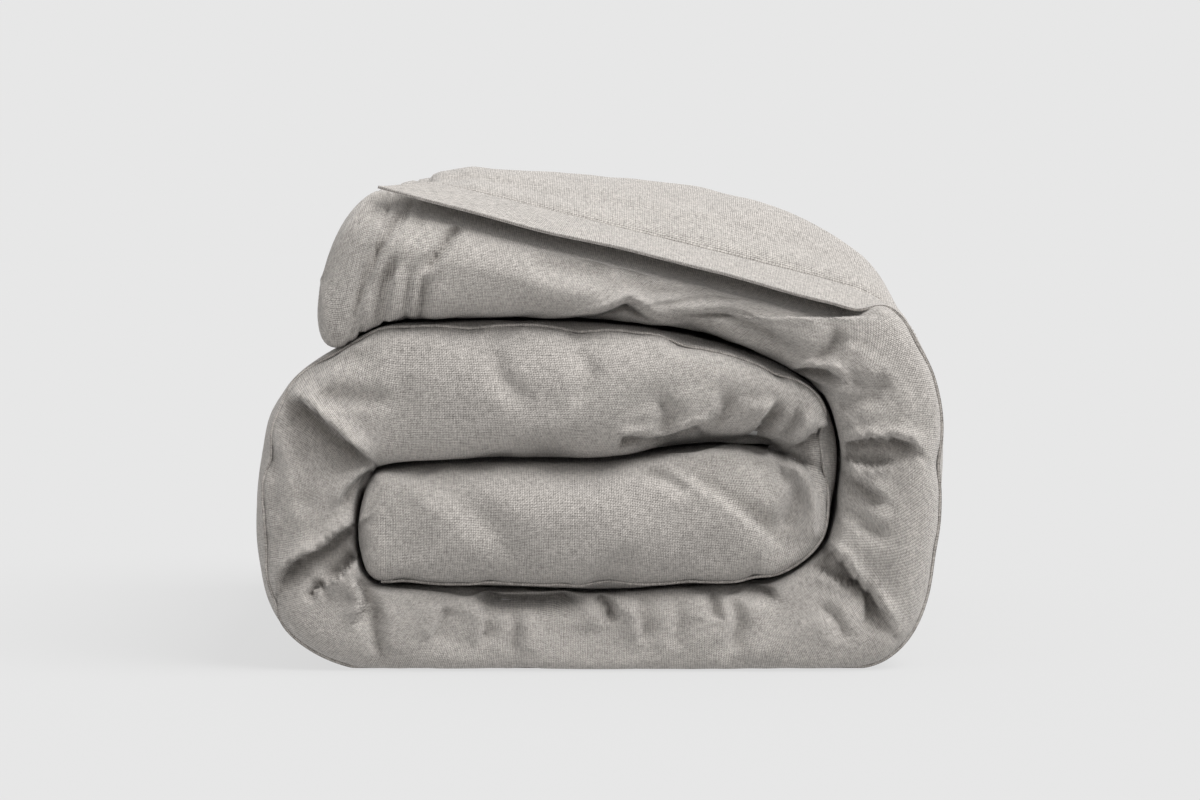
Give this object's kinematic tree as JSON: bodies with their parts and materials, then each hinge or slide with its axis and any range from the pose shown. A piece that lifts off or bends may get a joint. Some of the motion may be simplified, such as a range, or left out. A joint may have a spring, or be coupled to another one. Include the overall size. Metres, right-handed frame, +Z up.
{
  "type": "rolled duvet in a linen cover",
  "caption": "Double duvet in a flanged linen cover, folded lengthwise in three and rolled into a flat spiral that stands on its side.",
  "frame": {"origin": "middle of the footprint, on the floor that the roll lies on", "axes": "+X to the right along the layers, +Y back along the roll's axis, from the spiral that faces the viewer, and +Z up"},
  "size_m": [0.55, 0.64, 0.394],
  "materials": {
    "cover_linen": "matte washed linen",
    "insert_ticking": "matte cotton ticking",
    "insert_filling": "matte fibre",
    "baffle_cloth": "matte cotton",
    "flange_linen": "matte washed linen, stitched",
    "facing_linen": "matte washed linen",
    "button_shell": "satin",
    "cotton_tape": "matte cotton tape",
    "care_label": "satin woven"
  },
  "bodies": {
    "roll": {"cover_face_panel_roll": "cover_linen", "cover_reverse_panel_first_fold_roll": "cover_linen", "cover_reverse_panel_second_fold_roll": "cover_linen", "insert_ticking_inner_third_roll": "insert_ticking", "insert_filling_inner_third_roll": "insert_filling", "insert_baffles_inner_third_roll": "baffle_cloth", "insert_ticking_middle_third_roll": "insert_ticking", "insert_filling_middle_third_roll": "insert_filling", "insert_baffles_middle_third_roll": "baffle_cloth", "insert_ticking_outer_third_roll": "insert_ticking", "insert_filling_outer_third_roll": "insert_filling", "insert_baffles_outer_third_roll": "baffle_cloth", "side_flange_roll": "flange_linen"},
    "top_layer": {"cover_face_panel_top": "cover_linen", "cover_reverse_panel_first_fold_top": "cover_linen", "cover_reverse_panel_second_fold_top": "cover_linen", "insert_ticking_inner_third_top": "insert_ticking", "insert_filling_inner_third_top": "insert_filling", "insert_baffles_inner_third_top": "baffle_cloth", "insert_ticking_middle_third_top": "insert_ticking", "insert_filling_middle_third_top": "insert_filling", "insert_baffles_middle_third_top": "baffle_cloth", "insert_ticking_outer_third_top": "insert_ticking", "insert_filling_outer_third_top": "insert_filling", "insert_baffles_outer_third_top": "baffle_cloth", "opening_facing_upper": "facing_linen", "opening_facing_lower": "facing_linen", "closure_buttons": "button_shell", "cover_corner_ties": "cotton_tape", "insert_corner_loops": "cotton_tape", "care_label": "care_label"},
    "flange_flap": {"side_flange_flap": "flange_linen"}
  },
  "joints": [
    {"name": "top_layer_lift", "type": "hinge", "parent": "roll", "child": "top_layer", "pos_m": [0.08265, 0, 0.394], "axis": [0, 1, 0], "range_deg": [0, 90]},
    {"name": "flange_flap_lift", "type": "hinge", "parent": "top_layer", "child": "flange_flap", "pos_m": [0.08295, -0.26237, 0.33921], "axis": [-0.9703, 0, 0.2419], "range_deg": [0, 160]}
  ]
}
